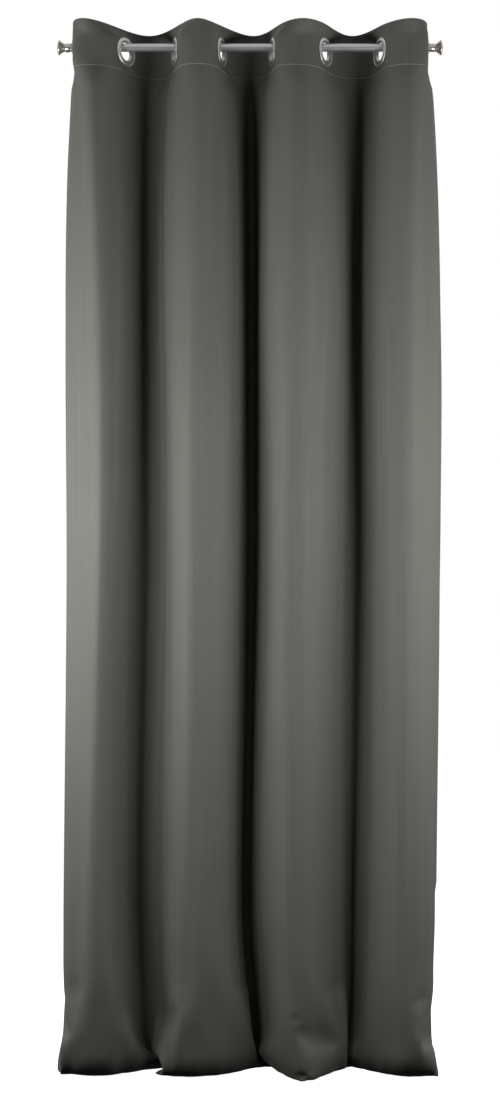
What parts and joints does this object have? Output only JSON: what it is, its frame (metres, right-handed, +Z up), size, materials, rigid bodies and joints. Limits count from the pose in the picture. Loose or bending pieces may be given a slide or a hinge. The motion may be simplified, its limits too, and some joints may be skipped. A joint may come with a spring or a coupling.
{
  "type": "eyelet curtain panel",
  "caption": "Floor-length eyelet curtain panel of dark satin-weave cloth, gathered in even folds on a slim steel rod with flared finials; it draws along the rod and swings under it.",
  "frame": {"origin": "on the rod's axis, half way between the tube's two ends, where wall brackets carry the rod", "axes": "+X along the rod to the right seen from the room, +Y towards the wall, +Z up"},
  "size_m": [0.8926, 0.1531, 2.433],
  "materials": {
    "satin_cloth": "satin",
    "stiffener_cloth": "matte",
    "satin_nickel": "satin",
    "brushed_steel": "satin",
    "dark_plastic": "matte",
    "label_tape": "matte"
  },
  "bodies": {
    "rod": {"rod_tube": "brushed_steel"},
    "finial_left": {"finial_left_cap": "satin_nickel", "finial_left_bung": "dark_plastic"},
    "finial_right": {"finial_right_cap": "satin_nickel", "finial_right_bung": "dark_plastic"},
    "panel": {"face_cloth_8": "satin_cloth", "heading_stiffener_8": "stiffener_cloth", "heading_facing_8": "satin_cloth", "bottom_hem_8": "satin_cloth", "side_hem_right": "satin_cloth", "care_label": "label_tape"},
    "pleat_1": {"face_cloth_1": "satin_cloth", "heading_stiffener_1": "stiffener_cloth", "heading_facing_1": "satin_cloth", "bottom_hem_1": "satin_cloth", "side_hem_left": "satin_cloth"},
    "pleat_2": {"face_cloth_2": "satin_cloth", "heading_stiffener_2": "stiffener_cloth", "heading_facing_2": "satin_cloth", "bottom_hem_2": "satin_cloth"},
    "pleat_3": {"face_cloth_3": "satin_cloth", "heading_stiffener_3": "stiffener_cloth", "heading_facing_3": "satin_cloth", "bottom_hem_3": "satin_cloth"},
    "pleat_4": {"face_cloth_4": "satin_cloth", "heading_stiffener_4": "stiffener_cloth", "heading_facing_4": "satin_cloth", "bottom_hem_4": "satin_cloth"},
    "pleat_5": {"face_cloth_5": "satin_cloth", "heading_stiffener_5": "stiffener_cloth", "heading_facing_5": "satin_cloth", "bottom_hem_5": "satin_cloth"},
    "pleat_6": {"face_cloth_6": "satin_cloth", "heading_stiffener_6": "stiffener_cloth", "heading_facing_6": "satin_cloth", "bottom_hem_6": "satin_cloth"},
    "pleat_7": {"face_cloth_7": "satin_cloth", "heading_stiffener_7": "stiffener_cloth", "heading_facing_7": "satin_cloth", "bottom_hem_7": "satin_cloth"},
    "eyelet_1": {"eyelet_1_front_ring": "satin_nickel", "eyelet_1_back_ring": "satin_nickel"},
    "eyelet_2": {"eyelet_2_front_ring": "satin_nickel", "eyelet_2_back_ring": "satin_nickel"},
    "eyelet_3": {"eyelet_3_front_ring": "satin_nickel", "eyelet_3_back_ring": "satin_nickel"},
    "eyelet_4": {"eyelet_4_front_ring": "satin_nickel", "eyelet_4_back_ring": "satin_nickel"},
    "eyelet_5": {"eyelet_5_front_ring": "satin_nickel", "eyelet_5_back_ring": "satin_nickel"},
    "eyelet_6": {"eyelet_6_front_ring": "satin_nickel", "eyelet_6_back_ring": "satin_nickel"},
    "eyelet_7": {"eyelet_7_front_ring": "satin_nickel", "eyelet_7_back_ring": "satin_nickel"},
    "eyelet_8": {"eyelet_8_front_ring": "satin_nickel", "eyelet_8_back_ring": "satin_nickel"}
  },
  "joints": [
    {"name": "finial_left_pull", "type": "slide", "parent": "rod", "child": "finial_left", "axis": [-1, 0, 0], "range_m": [0, 0.05]},
    {"name": "finial_right_pull", "type": "slide", "parent": "rod", "child": "finial_right", "axis": [1, 0, 0], "range_m": [0, 0.05]},
    {"name": "swing", "type": "hinge", "parent": "rod", "child": "panel", "pos_m": [0, 0, 0], "axis": [1, 0, 0], "range_deg": [-8, 8]},
    {"name": "draw", "type": "slide", "parent": "panel", "child": "pleat_1", "axis": [1, 0, 0], "range_m": [0, 0.6061], "deforming": ["face_cloth_1", "heading_stiffener_1", "heading_facing_1", "bottom_hem_1", "face_cloth_2", "heading_stiffener_2", "heading_facing_2", "bottom_hem_2", "face_cloth_3", "heading_stiffener_3", "heading_facing_3", "bottom_hem_3", "face_cloth_4", "heading_stiffener_4", "heading_facing_4", "bottom_hem_4", "face_cloth_5", "heading_stiffener_5", "heading_facing_5", "bottom_hem_5", "face_cloth_6", "heading_stiffener_6", "heading_facing_6", "bottom_hem_6", "face_cloth_7", "heading_stiffener_7", "heading_facing_7", "bottom_hem_7", "face_cloth_8", "heading_stiffener_8", "heading_facing_8", "bottom_hem_8", "side_hem_left", "side_hem_right", "care_label"]},
    {"name": "slide_2", "type": "slide", "parent": "panel", "child": "pleat_2", "axis": [1, 0, 0], "range_m": [0, 0.52057]},
    {"name": "slide_3", "type": "slide", "parent": "panel", "child": "pleat_3", "axis": [1, 0, 0], "range_m": [0, 0.43356]},
    {"name": "slide_4", "type": "slide", "parent": "panel", "child": "pleat_4", "axis": [1, 0, 0], "range_m": [0, 0.35409]},
    {"name": "slide_5", "type": "slide", "parent": "panel", "child": "pleat_5", "axis": [1, 0, 0], "range_m": [0, 0.26405]},
    {"name": "slide_6", "type": "slide", "parent": "panel", "child": "pleat_6", "axis": [1, 0, 0], "range_m": [0, 0.17402]},
    {"name": "slide_7", "type": "slide", "parent": "panel", "child": "pleat_7", "axis": [1, 0, 0], "range_m": [0, 0.07654]},
    {"name": "turn_1", "type": "hinge", "parent": "pleat_1", "child": "eyelet_1", "pos_m": [-0.40304, 0, -0.00922], "axis": [0, 0, 1], "range_deg": [0, 4.5]},
    {"name": "turn_2", "type": "hinge", "parent": "pleat_2", "child": "eyelet_2", "pos_m": [-0.289, 0, -0.00922], "axis": [0, 0, 1], "range_deg": [0, 24.43]},
    {"name": "turn_3", "type": "hinge", "parent": "pleat_3", "child": "eyelet_3", "pos_m": [-0.173, 0, -0.00922], "axis": [0, 0, 1], "range_deg": [-10.44, 0]},
    {"name": "turn_4", "type": "hinge", "parent": "pleat_4", "child": "eyelet_4", "pos_m": [-0.06704, 0, -0.00922], "axis": [0, 0, 1], "range_deg": [0, 12.63]},
    {"name": "turn_5", "type": "hinge", "parent": "pleat_5", "child": "eyelet_5", "pos_m": [0.053, 0, -0.00922], "axis": [0, 0, 1], "range_deg": [-8.96, 0]},
    {"name": "turn_6", "type": "hinge", "parent": "pleat_6", "child": "eyelet_6", "pos_m": [0.17304, 0, -0.00922], "axis": [0, 0, 1], "range_deg": [0, 21.12]},
    {"name": "turn_7", "type": "hinge", "parent": "pleat_7", "child": "eyelet_7", "pos_m": [0.30301, 0, -0.00922], "axis": [0, 0, 1], "range_deg": [-15.52, 0]},
    {"name": "turn_8", "type": "hinge", "parent": "panel", "child": "eyelet_8", "pos_m": [0.40504, 0, -0.00922], "axis": [0, 0, 1], "range_deg": [-4.5, 0]}
  ],
  "couplings": [
    {"joint": "slide_2", "follows": "draw", "ratio": 0.85888},
    {"joint": "slide_3", "follows": "draw", "ratio": 0.71533},
    {"joint": "slide_4", "follows": "draw", "ratio": 0.5842},
    {"joint": "slide_5", "follows": "draw", "ratio": 0.43565},
    {"joint": "slide_6", "follows": "draw", "ratio": 0.2871},
    {"joint": "slide_7", "follows": "draw", "ratio": 0.12627},
    {"joint": "turn_1", "follows": "draw", "rad_per_m": 0.12943},
    {"joint": "turn_2", "follows": "draw", "rad_per_m": 0.70344},
    {"joint": "turn_3", "follows": "draw", "rad_per_m": -0.30044},
    {"joint": "turn_4", "follows": "draw", "rad_per_m": 0.36367},
    {"joint": "turn_5", "follows": "draw", "rad_per_m": -0.25796},
    {"joint": "turn_6", "follows": "draw", "rad_per_m": 0.60789},
    {"joint": "turn_7", "follows": "draw", "rad_per_m": -0.44687},
    {"joint": "turn_8", "follows": "draw", "rad_per_m": -0.12943}
  ]
}
